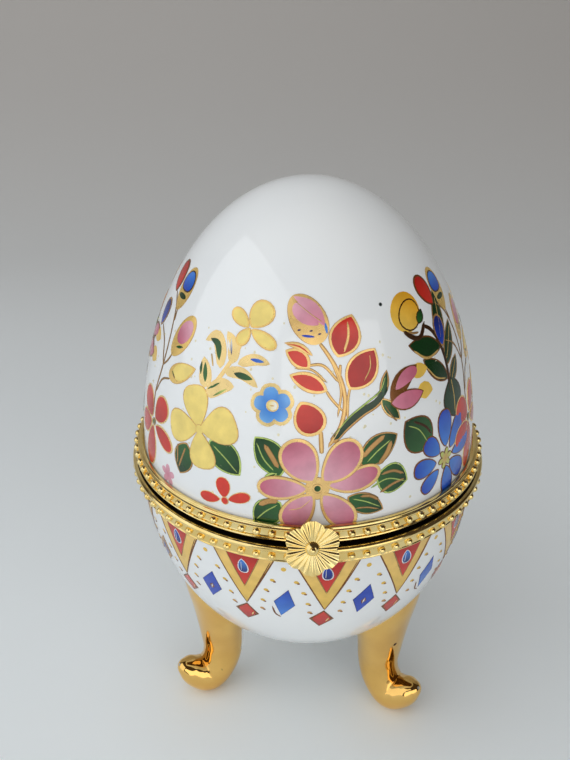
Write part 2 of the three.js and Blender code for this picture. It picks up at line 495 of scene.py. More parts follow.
def onHalf(half, degrees, rise, proud):  # a point on the egg's outside, in millimetres
    share = abs(rise / half["pole"])
    rest = 1 - share ** half["fullness"]
    radius = half["radius"] * rest ** (1 / half["bluntness"])
    slope = half["fullness"] * share ** (half["fullness"] - 1) / (half["bluntness"] * rest)
    out = Vector((1, math.copysign(radius * slope / abs(half["pole"]), half["pole"]))).normalized()
    turn = math.radians(degrees)
    reach = radius + proud * out.x
    return Vector((reach * math.sin(turn), -reach * math.cos(turn), egg["seam"] + rise + proud * out.y))


def onLid(degrees, rise, proud):
    return onHalf(egg["lid"], degrees, rise, proud) * mm


makePorcelainPieces()
print("porcelain ready")


# Beaded rims
rims = {
    "beads": 80,
    "beadRadius": 0.7,
    "plainAtClasp": 3,
    "plainAtHinge": 12,
    "lid": {
        "section": [
            (33.1, 3.4), (33.1, 1.25), (30.1, 1.25), (30.1, 0.85), (34.35, 0.85),
            (34.52, 0.92), (34.6, 1.1), (34.52, 1.28), (34.2, 1.38), (34.12, 1.55),
            (34.06, 2.6), (34.12, 2.72), (34.08, 2.9), (33.95, 2.98), (33.8, 2.98),
            (33.72, 3.08), (33.7, 3.3), (33.6, 3.4), (33.35, 3.44),
        ],
        "circle": 34.22, "rise": 2.08,
    },
    "bowl": {
        "section": [
            (34.1, -3.42), (34.45, -3.5), (34.68, -3.42), (34.72, -3.25), (34.6, -3.1),
            (34.55, -1.5), (34.75, -1.42), (35.05, -1.25), (35.25, -0.98), (35.3, -0.72),
            (35.22, -0.45), (35.0, -0.24), (34.7, -0.1), (29.6, -0.1), (29.6, 1.75),
            (29.5, 1.87), (29.3, 1.9), (29.1, 1.87), (29.0, 1.75), (29.0, -0.7), (34.1, -0.7),
        ],
        "circle": 34.7, "rise": -2.28,
    },
}


def makeBeads(circle, rise):
    freshSelection()
    bpy.ops.mesh.primitive_uv_sphere_add(segments=16, ring_count=10, radius=rims["beadRadius"] * mm)
    bead = bpy.context.object
    copies = []
    for i in range(rims["beads"]):
        degrees = (i + 0.5) * 360 / rims["beads"]
        fromFront = min(degrees, 360 - degrees)
        if rims["plainAtClasp"] < fromFront < 180 - rims["plainAtHinge"]:
            copy = bpy.data.objects.new("bead", bead.data.copy())
            turn = Matrix.Rotation(math.radians(degrees), 4, "Z")
            place = Matrix.Translation(Vector((0, -circle, egg["seam"] + rise)) * mm)
            copy.data.transform(turn @ place @ Matrix.Rotation(math.pi / 2, 4, "X"))
            bpy.context.scene.collection.objects.link(copy)
            copies.append(copy)
    bpy.data.objects.remove(bead)
    return copies


def makeRim(half, body):
    rim = rims[half]
    ring = spun("rim", rim["section"], closed=True)
    whole = joined([ring] + makeBeads(rim["circle"], rim["rise"]), half + "_beaded_rim")
    smooth(whole, 35)
    finish(whole, brass, body, "gilt_brass", half + "_rim")


brass = makeBrass()
makeRim("lid", "lid")
makeRim("bowl", "base")
print("rims ready")


# Clasp
clasp = {
    "radius": 4.7, "y": -36.5, "rise": 1.6, "tilt": 19, "petals": 6, "lobes": 0.17, "flutes": 24,
    "flute": 0.11, "steps": 288, "shares": (0.06, 0.16, 0.28, 0.4, 0.52, 0.64, 0.75, 0.84, 0.91, 0.96, 1.0),
    "boss": 1.3, "knob": 0.55,
}


def rosetteRing(share, height):
    ring = []
    for k in range(clasp["steps"]):
        turn = 2 * math.pi * k / clasp["steps"]
        lobe = abs(math.cos(clasp["petals"] / 2 * turn)) ** 0.7
        radius = clasp["radius"] * (1 - clasp["lobes"] + clasp["lobes"] * lobe) * share
        ring.append((radius * math.sin(turn), -radius * math.cos(turn), height(turn)))
    return ring


def makeClasp():
    def front(share):
        groove = clasp["flute"] * min(1, share * 1.4)
        return lambda turn: (
            0.75 + 0.55 * share - 0.35 * share ** 3 + groove * math.cos(clasp["flutes"] * turn)
        )

    rings = [rosetteRing(0.85, lambda turn: 0.0), rosetteRing(0.97, lambda turn: 0.35)]
    rings += [rosetteRing(share, front(share)) for share in reversed(clasp["shares"])]
    disc = lofted("disc", rings)
    knobs = []
    for radius, height in ((clasp["boss"], 0.5), (clasp["knob"], 1.75)):
        freshSelection()
        bpy.ops.mesh.primitive_uv_sphere_add(
            segments=40, ring_count=20, radius=radius * mm, location=(0, 0, height * mm)
        )
        knobs.append(settle(bpy.context.object, "knob"))
    flower = joined([disc] + knobs, "flower")
    flower.rotation_euler = (math.radians(90 - clasp["tilt"]), 0, 0)
    flower.location = (0, clasp["y"] * mm, (egg["seam"] + clasp["rise"]) * mm)
    settle(flower, "flower")
    seam = egg["seam"]
    stem = block((-1.7, clasp["y"] - 0.4, seam + 1.1), (1.7, -34.6, seam + 2.7), 0.2)
    tongue = block((-1.5, -36.2, seam - 2.2), (1.5, -35.65, seam + 1.5), 0.15)
    whole = joined([flower, stem, tongue], "clasp_flower")
    smooth(whole, 50)
    finish(whole, brass, "lid", "gilt_brass", "clasp_rosette")


makeClasp()
print("clasp ready")


# Hinge
hinge = {
    "y": 37.4, "rise": 0.4, "knuckle": 1.25, "pin": 0.45, "half": 5.5, "lidHalf": 1.8, "gap": 0.3,
    "bore": 0.6, "leafHalf": 8.8, "leafSteps": 8,
}  # leafHalf is in degrees


def leafPlate(inner, outer, low, high):
    rings = []
    for i in range(2 * hinge["leafSteps"] + 1):
        turn = math.radians(90 + hinge["leafHalf"] * (1 - i / hinge["leafSteps"]))
        ring = []
        for r, rise in ((inner, low), (outer, low), (outer, high), (inner, high)):
            ring.append((r * math.cos(turn), r * math.sin(turn), egg["seam"] + rise))
        rings.append(ring)
    plate = lofted("plate", rings)
    addModifier(plate, "BEVEL", width=0.12 * mm, segments=3, limit_method="ANGLE")
    return plate


def knuckle(x0, x1):
    z = egg["seam"] + hinge["rise"]
    bar = coin((x0, hinge["y"], z), (x1, hinge["y"], z), hinge["knuckle"])
    addModifier(bar, "BEVEL", width=0.15 * mm, segments=3, limit_method="ANGLE")
    cut(bar, coin((x0 - 1, hinge["y"], z), (x1 + 1, hinge["y"], z), hinge["bore"], 32))
    return bar


def makeHinge():
    side = hinge["lidHalf"] + hinge["gap"]
    z = egg["seam"] + hinge["rise"]
    clear = hinge["knuckle"] + hinge["gap"]
    low = leafPlate(35.6, 36.7, -3.3, hinge["rise"])
    cut(low, block((-side, 34.6, z - clear), (side, hinge["y"], z + clear)))
    base = joined([low, knuckle(-hinge["half"], -side), knuckle(side, hinge["half"])], "hinge_leaf_of_bowl")
    smooth(base)
    finish(base, brass, "base", "gilt_brass", "hinge_leaf_bowl")
    top = leafPlate(34.85, 35.55, 1, 3.2)
    arm = block((-hinge["lidHalf"], 35.1, z + 0.7), (hinge["lidHalf"], 36.8, z + 1.2), 0.08)
    cover = joined([top, arm, knuckle(-hinge["lidHalf"], hinge["lidHalf"])], "hinge_leaf_of_lid")
    smooth(cover)
    finish(cover, brass, "lid", "gilt_brass", "hinge_leaf_lid")
    reach = hinge["half"] + hinge["gap"]
    pin = coin((-reach, hinge["y"], z), (reach, hinge["y"], z), hinge["pin"])
    addModifier(pin, "BEVEL", width=0.12 * mm, segments=3, limit_method="ANGLE")
    pin = settle(pin, "hinge_rod")
    smooth(pin)
    finish(pin, brass, "base", "gilt_brass", "hinge_pin")


makeHinge()
print("hinge ready")

# Painted decoration: thin coats of enamel and gold laid on the glaze
# A place on the porcelain is (degrees from the front, millimetres of climb along the surface from the seam).
coatStyle = {
    "first": 0.03, "layer": 0.016, "under": 0.06, "dome": 0.012, "step": 0.6, "column": 1.1, "lip": 0.17,
    "thin": 0.9, "thinDome": 3, "thinEdge": 0.4, "hairline": 0.012, "fewest": 8, "near": 0.01,
    "tableSteps": 400, "tableReach": 0.985,
}  # a coat narrower than thin has three columns of points and a rounder back


def tone(red, green, blue):  # a screen colour as linear light
    return Vector([((c / 255 + 0.055) / 1.055) ** 2.4 for c in (red, green, blue)])


tones = {
    "blush": tone(226, 172, 188),
    "pink": tone(214, 134, 156),
    "rose": tone(192, 98, 122),
    "red": tone(214, 58, 44),
    "crimson": tone(176, 32, 26),
    "sky": tone(120, 178, 236),
    "azure": tone(66, 132, 220),
    "royal": tone(30, 70, 184),
    "navy": tone(24, 34, 104),
    "leaf": tone(44, 98, 42),
    "deep": tone(18, 54, 24),
    "lime": tone(196, 216, 118),
    "cream": tone(242, 218, 124),
    "straw": tone(240, 202, 118),
    "ochre": tone(230, 190, 84),
    "amber": tone(222, 160, 36),
    "brown": tone(128, 78, 34),
    "umber": tone(74, 46, 24),
    "white": tone(236, 240, 243),
    "gold": tone(246, 206, 132),
    "tan": tone(198, 152, 92),
    "pale": tone(242, 212, 144),
    "bronze": tone(158, 106, 52),
    "dust": tone(232, 224, 190),
}


edgeTones = {"gold": "bronze", "tan": "umber", "pale": "gold", "straw": "tan", "lime": "leaf"}

# The bouquets stand side by side round the lid. The last has no room for its blue spray.
bouquet = {"turn": 0, "turns": (0, 128, 248), "blueSprayBefore": 200}


def climbTable(half):
    pole = half["pole"]
    table = [(0.0, 0.0)]
    before = half["radius"]
    steps = coatStyle["tableSteps"]
    for i in range(1, steps):
        rise = pole * coatStyle["tableReach"] * i / (steps - 1)
        radius = half["radius"] * (1 - abs(rise / pole) ** half["fullness"]) ** (1 / half["bluntness"])
        step = math.hypot(radius - before, rise - table[-1][1])
        table.append((table[-1][0] + step, rise))
        before = radius
    return table


for half in (egg["lid"], egg["bowl"]):
    half["climb"] = climbTable(half)


def riseAt(half, climb):
    table = half["climb"]
    away = abs(climb)
    index = min(max(bisect.bisect([c for c, _ in table], away), 1), len(table) - 1)
    (c0, r0), (c1, r1) = table[index - 1], table[index]
    return r0 + (r1 - r0) * (away - c0) / (c1 - c0)


def radiusAt(half, climb):
    share = abs(riseAt(half, climb) / half["pole"])
    return half["radius"] * (1 - share ** half["fullness"]) ** (1 / half["bluntness"])


def newCoat(half):
    return {"half": half, "points": [], "faces": [], "tones": []}


coats = {
    "lid_enamel": newCoat(egg["lid"]),
    "lid_gold": newCoat(egg["lid"]),
    "bowl_enamel": newCoat(egg["bowl"]),
    "bowl_gold": newCoat(egg["bowl"]),
}


def blade(base, tip):  # width along a stroke: 0.5 rounds an end, 1 points it, near 0 squares it
    widest = base / (base + tip)
    peak = widest ** base * (1 - widest) ** tip
    return lambda t: t ** base * (1 - t) ** tip / peak


def wedge(t):
    return t


def diamond(t):
    return 1 - abs(2 * t - 1)


petalShape = blade(0.75, 0.5)
leafShape = blade(0.8, 0.9)
lineShape = blade(0.12, 0.12)
roundShape = blade(0.5, 0.5)


def strokeLine(path, perDegree, bend, grow):  # a stroke's middle line, unrolled flat, in millimetres
    flat = [Vector(((degrees + bouquet["turn"]) * perDegree, climb, 0)) for degrees, climb in path]
    if grow:
        flat[0] = flat[0] + (flat[0] - flat[1]).normalized() * grow
        flat[-1] = flat[-1] + (flat[-1] - flat[-2]).normalized() * grow
    if bend:
        along = (flat[-1] - flat[0]).normalized()
        flat.insert(1, (flat[0] + flat[-1]) / 2 + Vector((along.y, -along.x, 0)) * bend)
    return flat


def strokeSection(width, layer):  # (share of the half-width, height over the glaze) round a stroke
    level = coatStyle["first"] + coatStyle["layer"] * layer
    under = -coatStyle["under"]
    dome = coatStyle["dome"]
    if width < coatStyle["thin"]:
        edge = level * coatStyle["thinEdge"]
        return [(-1, edge), (0, level + dome * coatStyle["thinDome"]), (1, edge), (0.0, under)]
    lip = 1 - coatStyle["lip"] / (width / 2)
    columns = max(1, math.ceil(width / 2 / coatStyle["column"]))
    sides = [-1] + [lip * k / columns for k in range(-columns, columns + 1)] + [1]
    return [(side, level + dome * (1 - side * side)) for side in sides] + [(1.0, under), (-1.0, under)]


def addLoops(coat, offset, steps, size):  # the faces of a stroke, ends closed
    for i in range(steps):
        for k in range(size):
            a = offset + i * size + k
            b = offset + i * size + (k + 1) % size
            coat["faces"].append([a, b, b + size, a + size])
    coat["faces"].append([offset + k for k in range(size)][::-1])
    coat["faces"].append([offset + steps * size + k for k in range(size)])


def brush(coatName, path, width, first, last=None, layer=0, shape=petalShape, bend=0.0, grow=0.0):
    coat = coats[coatName]
    half = coat["half"]
    rim = edgeTones.get(first) if coatName.endswith("gold") else None
    middle = sum(climb for _, climb in path) / len(path)
    perDegree = math.radians(radiusAt(half, middle))
    flat = strokeLine(path, perDegree, bend, grow)
    width += 2 * grow
    length = sum((b - a).length for a, b in zip(flat, flat[1:]))
    steps = max(coatStyle["fewest"], math.ceil(length / coatStyle["step"]))
    section = strokeSection(width, layer)
    start, end = tones[first], tones[last or first]
    offset = len(coat["points"])
    for i in range(steps + 1):
        t = (1 - math.cos(math.pi * i / steps)) / 2 if len(path) == 2 else i / steps
        near = coatStyle["near"]
        along = splinePoint(flat, min(t + near, 1)) - splinePoint(flat, max(t - near, 0))
        across = Vector((along.y, -along.x, 0)).normalized()
        reach = max(width / 2 * shape(min(max(t, 0), 1)), coatStyle["hairline"])
        for side, lift in section:
            spot = splinePoint(flat, t) + across * reach * side
            coat["points"].append(onHalf(half, spot.x / perDegree, riseAt(half, spot.y), lift))
            coat["tones"].append(tones[rim] if rim and abs(side) == 1 else start.lerp(end, t))
    addLoops(coat, offset, steps, len(section))


# A cell is a stroke of enamel on a wider stroke of gold.
def cell(path, width, first, last=None, layer=1, margin=0.4, border="gold", on="lid", **more):
    brush(on + "_gold", path, width, border, layer=layer - 1, grow=margin, **more)
    brush(on + "_enamel", path, width, first, last, layer=layer, **more)


def line(path, width, first="gold", layer=3, on="lid_gold"):
    brush(on, path, width, first, layer=layer, shape=lineShape)


def spoke(half, centre, angle, distance):  # a place at a distance from a centre, clockwise from upwards
    perDegree = math.radians(radiusAt(half, centre[1]))
    turn = math.radians(angle)
    return (centre[0] + distance * math.sin(turn) / perDegree, centre[1] + distance * math.cos(turn))


# A petal is its angle, where it starts and ends along it, its width and its bend.
def flower(centre, petals, first, last, layer, margin, border="gold", shape=petalShape, lapped=True):
    half = egg["lid"]
    for i, (angle, start, reach, width, bend) in enumerate(petals):
        over = 4 if i == len(petals) - 1 and i % 2 == 0 else 2 * (i % 2)  # each petal laps its neighbour
        path = [spoke(half, centre, angle, start), spoke(half, centre, angle, reach)]
        level = layer + (over if lapped else 0)
        cell(path, width, first, last, level, margin, border, shape=shape, bend=bend)


def leaf(base, tip, width, veins=(), layer=1, margin=0.3, border="lime", bend=0.0, body="leaf"):
    cell([base, tip], width, body, "deep", layer, margin, border, shape=leafShape, bend=bend)
    for path, thick, colour in veins:
        line(path, thick, colour, layer + 1)


def pinkSpray():
    stems = [
        ([(4.5, 17.5), (8.6, 21.3), (10.0, 25.5), (8.0, 29.9), (5.0, 32.6), (2.0, 34.6)], 0.75),
        ([(7.5, 22.5), (8.8, 27), (7.0, 30.4), (4.5, 33.2)], 0.4),
        ([(10.5, 22), (11.2, 26), (12.5, 28)], 0.45),
        ([(9, 31), (8.6, 29)], 0.5),
        ([(2.6, 16.5), (2.3, 20.3)], 0.8),
        ([(9.4, 23.3), (5.4, 25.8), (4, 27)], 0.5),
        ([(8.6, 28), (3, 31), (-2, 31)], 0.5),
    ]
    for path, wide in stems:
        line(path, wide, "gold", 1)
    # leaves up the stem
    cell([(0.9, 20.2), (-3.6, 24.7)], 4.3, "crimson", "red", 3, 0.5, shape=blade(0.5, 0.7))
    cell([(3.4, 27.1), (-6.8, 29.2)], 2.1, "red", "red", 3, 0.55, shape=leafShape, bend=0.2)
    line([(-6.3, 30.5), (-0.5, 30.3), (4.4, 28.2)], 0.4, "gold", 3)
    cell([(-2.1, 30.8), (-8.8, 33)], 2.0, "red", "red", 3, 0.5, shape=leafShape, bend=0.3)
    cell([(-1.0, 32.7), (-9.6, 34.3)], 0.5, "red", "red", 3, 0.35, shape=leafShape, bend=0.5)
    cell([(8.6, 32.6), (14.4, 38.4)], 4.4, "crimson", "red", 3, 0.45, shape=leafShape)
    line([(10.4, 32.9), (12.4, 35.2), (12.9, 37.7)], 0.85, "gold", 4)
    cell([(12.0, 27.3), (21.3, 32.6)], 4.5, "crimson", "crimson", 3, 0.45, shape=leafShape)
    line([(16.6, 28), (19.2, 30), (19.6, 32)], 0.4, "gold", 4)
    # the top bud
    brush("lid_gold", [(2.2, 34.4), (-8.6, 42.0)], 5.9, "gold", layer=2, shape=blade(0.5, 0.55), bend=0.5)
    brush("lid_enamel", [(4.2, 37.2), (-8.2, 41.9)], 1.8, "pink", "blush", 3, leafShape, 0.9)
    brush("lid_enamel", [(1.9, 37.4), (-7.6, 40.7)], 2.7, "pink", "blush", 4, petalShape, -0.2)
    line([(3.4, 37.8), (-2, 39.4), (-7.5, 41.2)], 0.3, "gold", 5)
    brush("lid_enamel", [(-4.2, 35.7), (0.4, 35.5)], 0.6, "royal", layer=4, shape=roundShape)
    brush("lid_enamel", [(4.9, 36.0), (4.3, 37.7)], 0.6, "azure", layer=4, shape=roundShape)
    for spot in ((-5.8, 36.5), (1.6, 35.9), (-1.5, 36.4)):
        brush("lid_enamel", [spot, (spot[0] + 1.2, spot[1] + 0.1)], 0.4, "navy", layer=4, shape=roundShape)
    # leaves round the flower: base, tip, width, border, bend and veins
    leaves = [
        ((-9.8, 12.4), (-17.4, 18.4), 4.7, "lime", 0.5, [
            ([(-17.0, 17.7), (-14.6, 15), (-11.6, 13.2)], 0.42, "lime"),
            ([(-14.6, 17.6), (-12.2, 15.6), (-10.1, 13.7)], 0.95, "tan"),
        ]),
        ((14.8, 14.0), (26.4, 18.0), 4.5, "tan", -0.4, [
            ([(16.3, 14.3), (20, 16), (24.3, 17.4)], 0.4, "lime"),
            ([(14.8, 15.2), (18.4, 17), (22.4, 18.4)], 0.95, "tan"),
            ([(20, 13.4), (22.8, 15.2), (24.6, 17.2)], 0.95, "tan"),
        ]),
        ((19.8, 11.4), (29.6, 9.3), 5.2, "lime", 0, [
            ([(17.5, 9.4), (22.7, 10.5), (29.4, 9.1)], 0.4, "lime"),
            ([(20.8, 11.6), (25, 11.7), (28.6, 10.6)], 0.85, "tan"),
            ([(20.5, 8.2), (25, 9.3), (28.8, 9.6)], 0.85, "tan"),
        ]),
        ((10.8, 8.2), (21.3, 4.9), 3.5, "tan", 0, [
            ([(11.8, 7.9), (16, 7), (20.7, 5.4)], 0.35, "lime"),
            ([(14.2, 8.2), (17.5, 7.9), (20.2, 6.8)], 0.85, "tan"),
            ([(12.8, 6), (16.5, 5.8), (20.3, 5.0)], 0.5, "tan"),
        ]),
        ((-9.6, 7.2), (-16.9, 3.0), 4.6, "lime", 0, [
            ([(-10.2, 6.8), (-13.5, 5.4), (-16.6, 3.4)], 0.42, "lime"),
            ([(-15.8, 6.4), (-12.8, 7.4), (-10, 7.6)], 1.1, "tan"),
        ]),
    ]
    leaf((-13.9, 11.6), (-10.8, 12.6), 0.7, layer=2)
    for base, tip, width, border, bend, veins in leaves:
        leaf(base, tip, width, veins, border=border, bend=bend)
    # the flower
    petals = [
        (-28, 1.7, 9.1, 5.4, -0.3), (38, 1.9, 9.9, 5.0, 0.4), (77, 2.1, 10.5, 3.4, 0.5),
        (142, 1.7, 9.2, 4.0, 0.0), (-147, 1.7, 8.8, 4.3, 0.2), (-92, 1.9, 9.5, 3.4, 0.0),
    ]
    flower((1.4, 10.3), petals, "blush", "rose", 5, 0.55)
    brush("lid_gold", [(-2.2, 10.3), (5.0, 10.3)], 4.2, "gold", layer=3, shape=roundShape)
    line([(-0.5, 8.2), (-3.5, 6.6), (-6.8, 6.1)], 0.4, "gold", 6)
    cell([(0.5, 10.3), (2.4, 10.3)], 1.1, "deep", "leaf", 6, 0.35, shape=roundShape)
    # the stem to the tulip, and its leaves
    line([(5.4, 18.2), (9, 20.4), (15, 22.8), (20, 24), (23, 25)], 1.5, "tan", 1)
    line([(6.2, 18.8), (9.6, 20.9), (15, 23.0), (20, 24.2), (24.6, 26.4)], 1.1, "deep", 2, "lid_enamel")
    line([(6.4, 19.6), (11, 22.3), (17, 24.4), (22, 26), (24.2, 28)], 0.36, "lime", 3)
    leaf((22.5, 25), (24.9, 28.8), 1.0, layer=2, border="tan", margin=0.35)
    vein = ([(23, 23.5), (25.2, 21.5), (27, 20.3)], 0.35, "tan")
    leaf((22.3, 24.4), (27.8, 20.7), 1.7, [vein], 2, border="gold")
    brush("lid_enamel", [(34, 27.6), (42.2, 27.4)], 2.6, "ochre", "ochre", 2, leafShape)
    brush("lid_enamel", [(36, 23.6), (43.0, 23.4)], 3.0, "ochre", "ochre", 2, leafShape, -0.4)
    brush("lid_gold", [(25.6, 23.4), (37.5, 28.6)], 3.3, "brown", layer=3, shape=leafShape, bend=-0.9)
    brush("lid_enamel", [(27.5, 25.6), (37.2, 28.0)], 2.3, "pink", "rose", 4, petalShape, -0.4)
    cell([(25.6, 23.5), (38.2, 23.9)], 2.9, "pink", "rose", 5, 0.25, "brown", shape=leafShape, bend=0.3)


def lightBlueFlower():
    centre = (-12.75, 24.2)
    petals = [(-11 + 72 * k, 0.5, 3.1, 2.5, 0.0) for k in range(5)]
    flower(centre, petals, "azure", "sky", 2, 0.6, "pale", shape=blade(0.4, 0.4), lapped=False)
    cell([(-14.3, 24.2), (-11.2, 24.2)], 1.5, "cream", "white", 4, 0.25, "pale", shape=roundShape)
    cell([(-13.3, 24.2), (-12.3, 24.2)], 0.5, "tan", "tan", 5, 0.12, "straw", shape=roundShape)


def yellowSpray():
    line([(-24.5, 35.4), (-27.5, 31.4), (-30.6, 28.4), (-34, 25.5), (-37.5, 23)], 0.75, "pale", 1)
    leaflets = [
        ([(-32.4, 28.6), (-33.6, 31.6), (-36.6, 33.6), (-41, 32.3)], 2.3),
        ([(-28.2, 29.8), (-28.6, 32.6), (-32.4, 34.8)], 2.2),
        ([(-26, 30), (-20, 31.2), (-14.6, 30.8)], 1.9), ([(-30.4, 28.2), (-24, 28.6), (-18, 26.8)], 2.0),
        ([(-37.4, 24.6), (-38, 27), (-40, 29.6)], 2.7), ([(-36.4, 23.4), (-31, 25.8), (-26.2, 26.2)], 2.7),
    ]
    for path, wide in leaflets:
        brush("lid_gold", path, wide, "pale", layer=1, shape=blade(0.5, 0.7))
    inlays = [
        ([(-33.3, 29.8), (-35.3, 32.4), (-38.8, 32.9)], 1.2, "leaf", "deep"),
        ([(-28.9, 31.2), (-30.2, 33.9)], 0.5, "navy", "white"),
        ([(-29.8, 31.6), (-31.4, 33.6)], 0.4, "white", "white"),
        ([(-21.6, 31.2), (-16.6, 31.0)], 0.85, "royal", "azure"),
        ([(-26.8, 28.4), (-20, 28)], 1.1, "deep", "leaf"),
        ([(-37.4, 25.6), (-38.8, 28.8)], 0.9, "leaf", "leaf"),
        ([(-40, 26.6), (-40.4, 28.8)], 0.7, "leaf", "deep"),
        ([(-36, 24.6), (-31.4, 26.3)], 0.6, "leaf", "leaf"),
        ([(-33.4, 23.8), (-28.6, 25.6)], 0.5, "leaf", "lime"),
    ]
    for path, wide, first, last in inlays:
        brush("lid_enamel", path, wide, first, last, 3, leafShape)
    line([(-35.4, 28.6), (-37, 30.5)], 0.3, "straw", 3)
    # the small flower at the top of the spray, and the large one at its foot with two leaves
    small = [
        (31, 0.6, 5.0, 3.7, 0), (119, 0.6, 5.0, 1.8, 0),
        (-55, 0.6, 4.3, 1.8, 0), (209, 0.3, 3.0, 1.6, 0),
    ]
    flower((-23.6, 36.0), small, "cream", "cream", 3, 0.35, "straw")
    veins = [([(-46.3, 12.6), (-46.0, 9)], 0.5, "tan"), ([(-42.6, 12.6), (-45.4, 8.4)], 0.7, "tan")]
    leaf((-42.2, 13.4), (-44.8, 7.4), 4.3, veins, border="tan")
    vein = ([(-31.6, 15.4), (-27, 13.7), (-22.8, 11.6)], 0.42, "lime")
    leaf((-32.6, 15.8), (-22.3, 11.4), 5.0, [vein], margin=0.35, bend=-0.3)
    large = [
        (-20, 0.2, 7.4, 5.6, 0), (67, 0.2, 7.6, 6.2, 0.2),
        (-103, 0.3, 7.4, 5.6, 0), (168, 0.3, 7.0, 5.4, 0),
    ]
    flower((-37.3, 17.3), large, "cream", "cream", 3, 0.2, "straw", shape=blade(0.95, 0.4))
    cell([(-38.6, 17.2), (-35.8, 17.2)], 1.6, "cream", "cream", 5, 0.15, "straw", shape=roundShape)


def smallFlowers():
    petals = [(-6, 0.5, 4.3, 2.7, 0), (-97, 0.9, 5.0, 2.0, 0), (68, 0.9, 5.2, 1.9, 0)]
    flower((-27.0, 5.7), petals, "red", "red", 2, 0.1, "pale")
    cell([(-27.9, 5.6), (-25.7, 5.6)], 1.3, "red", "red", 4, 0.12, "pale", shape=roundShape)
    middle = (-51.5, 5.0)
    for angle in range(0, 360, 72):
        brush("lid_enamel", [middle, spoke(egg["lid"], middle, angle, 2.1)], 1.3, "pink", "blush", 1)


def redSpray():
    stems = [
        ([(-63.3, 14), (-63.8, 18.5), (-62, 23), (-61.4, 27), (-62.4, 31), (-65.5, 34.6), (-71, 36.8)], 0.45),
        ([(-62.6, 32.4), (-63.8, 35)], 0.4),
        ([(-61.9, 24.4), (-66, 28.2), (-72, 30)], 0.45),
        ([(-61.8, 24.2), (-59, 25.6), (-56.6, 27.6)], 0.4),
        ([(-63.4, 18.6), (-60, 21.8), (-55, 23)], 0.4),
    ]
    for path, wide in stems:
        line(path, wide, "tan", 1)
    brush("lid_gold", [(-63.8, 34.2), (-63.6, 42.4)], 4.6, "straw", layer=1, shape=blade(0.7, 0.5))
    cell([(-63.8, 38.0), (-63.6, 41.5)], 3.5, "royal", "azure", 3, 0.25, "umber", shape=blade(0.35, 0.5))
    brush("lid_enamel", [(-67, 36.9), (-60.6, 36.9)], 1.0, "deep", layer=3, shape=roundShape)
    brush("lid_gold", [(-57.4, 27), (-49.4, 35)], 4.6, "straw", layer=1, shape=blade(0.6, 0.5))
    brush("lid_enamel", [(-55.4, 29.8), (-49.9, 34)], 3.3, "rose", "blush", 3, roundShape)
    brush("lid_enamel", [(-55.6, 28.8), (-51.4, 29.4)], 0.7, "leaf", "deep", 3, leafShape)
    brush("lid_gold", [(-56, 23.4), (-42.6, 27)], 3.6, "straw", layer=1, shape=blade(0.5, 0.8))
    brush("lid_enamel", [(-53.5, 24.2), (-43.6, 26.8)], 2.9, "cream", "cream", 3, blade(0.5, 0.8))
    brush("lid_enamel", [(-54.2, 24.6), (-51.8, 23.6)], 0.7, "leaf", "brown", 4, leafShape)
    cell([(-74.6, 29.6), (-73.2, 34.6)], 2.8, "royal", "navy", 3, 0.35, "tan", shape=petalShape)
    cell([(-72.4, 36.8), (-76.6, 42)], 3.2, "red", "crimson", 3, 0.35, "brown", shape=petalShape)
    petals = [
        (-50, 1.2, 7.2, 4.8, 0), (-112, 1.2, 7.4, 4.2, 0), (193, 1.0, 9.6, 4.2, -0.4),
        (35, 1.2, 7.0, 4.4, 0.2), (110, 1.2, 7.5, 3.1, -0.2),
    ]
    flower((-62.2, 12.9), petals, "crimson", "red", 3, 0.25, "pale")
    cell([(-63, 12.9), (-61.4, 12.9)], 0.9, "leaf", "leaf", 5, 0.25, "tan", shape=roundShape)


